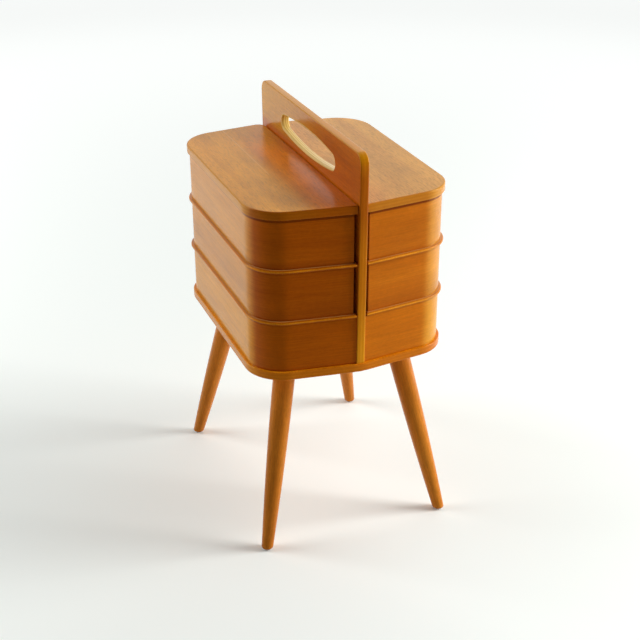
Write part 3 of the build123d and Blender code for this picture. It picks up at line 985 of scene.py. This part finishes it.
# The floor: pale paper that keeps the shadow, and looks whiter between two distances from its middle
FLOOR_HALF = 9.0
FLOOR_TONE = colour(0.912, 0.955, 0.922)
FLOOR_BOUNCE = colour(0.75, 0.75, 0.74)
NEAR_RISE = (0.30, 3.0)
NEAR_WHITE = 0.51
FAR_RISE = (3.2, 6.0)
FAR_WHITE = 0.45


def seen_rays(link, add):
    """1 for the camera's rays, and for mirrored rays and rays through glass, and 0 for the rest"""
    path = add("LightPath").outputs
    seen = math_node(link, add, "MAXIMUM", path["Is Camera Ray"], path["Is Glossy Ray"])
    return math_node(link, add, "MAXIMUM", seen, path["Is Transmission Ray"])


def add_floor():
    mesh = bpy.data.meshes.new("floor")
    corners = [(x * FLOOR_HALF, y * FLOOR_HALF, 0.0) for x, y in ((-1, -1), (1, -1), (1, 1), (-1, 1))]
    mesh.from_pydata(corners, [], [(0, 1, 2, 3)])
    floor = bpy.data.objects.new("floor", mesh)
    bpy.context.scene.collection.objects.link(floor)
    material, link, add, output = new_material("floor_paper")
    bounced = add("LightPath").outputs["Is Diffuse Ray"]
    shader = add("BsdfDiffuse")
    link(mix_colour(link, add, bounced, FLOOR_TONE, FLOOR_BOUNCE), shader.inputs["Color"])
    away = add("VectorMath", operation="LENGTH")
    link(add("TexCoord").outputs["Object"], away.inputs[0])
    near = share_between(link, add, away.outputs["Value"], *NEAR_RISE)
    far = share_between(link, add, away.outputs["Value"], *FAR_RISE)
    white = math_node(link, add, "MULTIPLY", near, NEAR_WHITE)
    white = math_node(link, add, "MULTIPLY_ADD", far, FAR_WHITE, white)
    glow = add("Emission")
    link(math_node(link, add, "MULTIPLY", seen_rays(link, add), white), glow.inputs["Strength"])
    both = add("AddShader")
    link(shader.outputs[0], both.inputs[0])
    link(glow.outputs[0], both.inputs[1])
    link(both.outputs[0], output.inputs["Surface"])
    mesh.materials.append(material)


# The room's soft light: lobes that brighten towards a direction, as (direction, strength)
WORLD_LOBES = (
    ((0.88, 0.42, 0.22), 0.904),
    ((0.70, 0.65, 0.30), 0.24),
)


def add_world():
    """White where it is seen, and a soft light on the object from the right and from behind"""
    world = bpy.data.worlds.new("studio")
    world.use_nodes = True
    tree = world.node_tree
    tree.nodes.clear()
    add = adder(tree)
    link = tree.links.new
    output = add("OutputWorld")
    background = add("Background", Color=grey(1.0))
    way = add("TexCoord").outputs["Generated"]
    light = 0.0
    for direction, strength in WORLD_LOBES:
        dot = add("VectorMath", operation="DOT_PRODUCT")
        dot.inputs[1].default_value = direction
        link(way, dot.inputs[0])
        lobe = math_node(link, add, "MAXIMUM", dot.outputs["Value"], 0.0)
        light = math_node(link, add, "MULTIPLY_ADD", lobe, strength, light)
    level = add("Mix", data_type="FLOAT")
    link(seen_rays(link, add), level.inputs[0])
    link(light, level.inputs[2])
    level.inputs[3].default_value = 1.0
    link(level.outputs[0], background.inputs["Strength"])
    link(background.outputs[0], output.inputs["Surface"])
    bpy.context.scene.world = world


# Square soft boxes, as (name, azimuth from +X towards +Y and elevation in degrees, distance, size, watts)
LAMPS = (
    ("key", -21.0, 12.0, 2.4, 1.0, 41.0),
    ("high_key", -18.0, 36.0, 2.4, 1.0, 23.0),
    ("left_fill", 152.0, 29.0, 2.6, 1.4, 38.0),
)
LAMP_AIM = Vector((0, 0, 0.35))


def add_lamps():
    for name, azimuth, elevation, distance, size, power in LAMPS:
        data = bpy.data.lights.new(name, "AREA")
        data.shape = "SQUARE"
        data.size = size
        data.energy = power
        lamp = bpy.data.objects.new(name, data)
        bpy.context.scene.collection.objects.link(lamp)
        round_z, up = math.radians(azimuth), math.radians(elevation)
        way = Vector((math.cos(round_z) * math.cos(up), math.sin(round_z) * math.cos(up), math.sin(up)))
        lamp.location = LAMP_AIM + way * distance
        lamp.rotation_euler = way.to_track_quat("Z", "Y").to_euler()


bpy.context.scene.view_settings.view_transform = "Standard"
add_camera()
add_floor()
add_world()
add_lamps()
make_pieces()

bpy.context.view_layer.update()
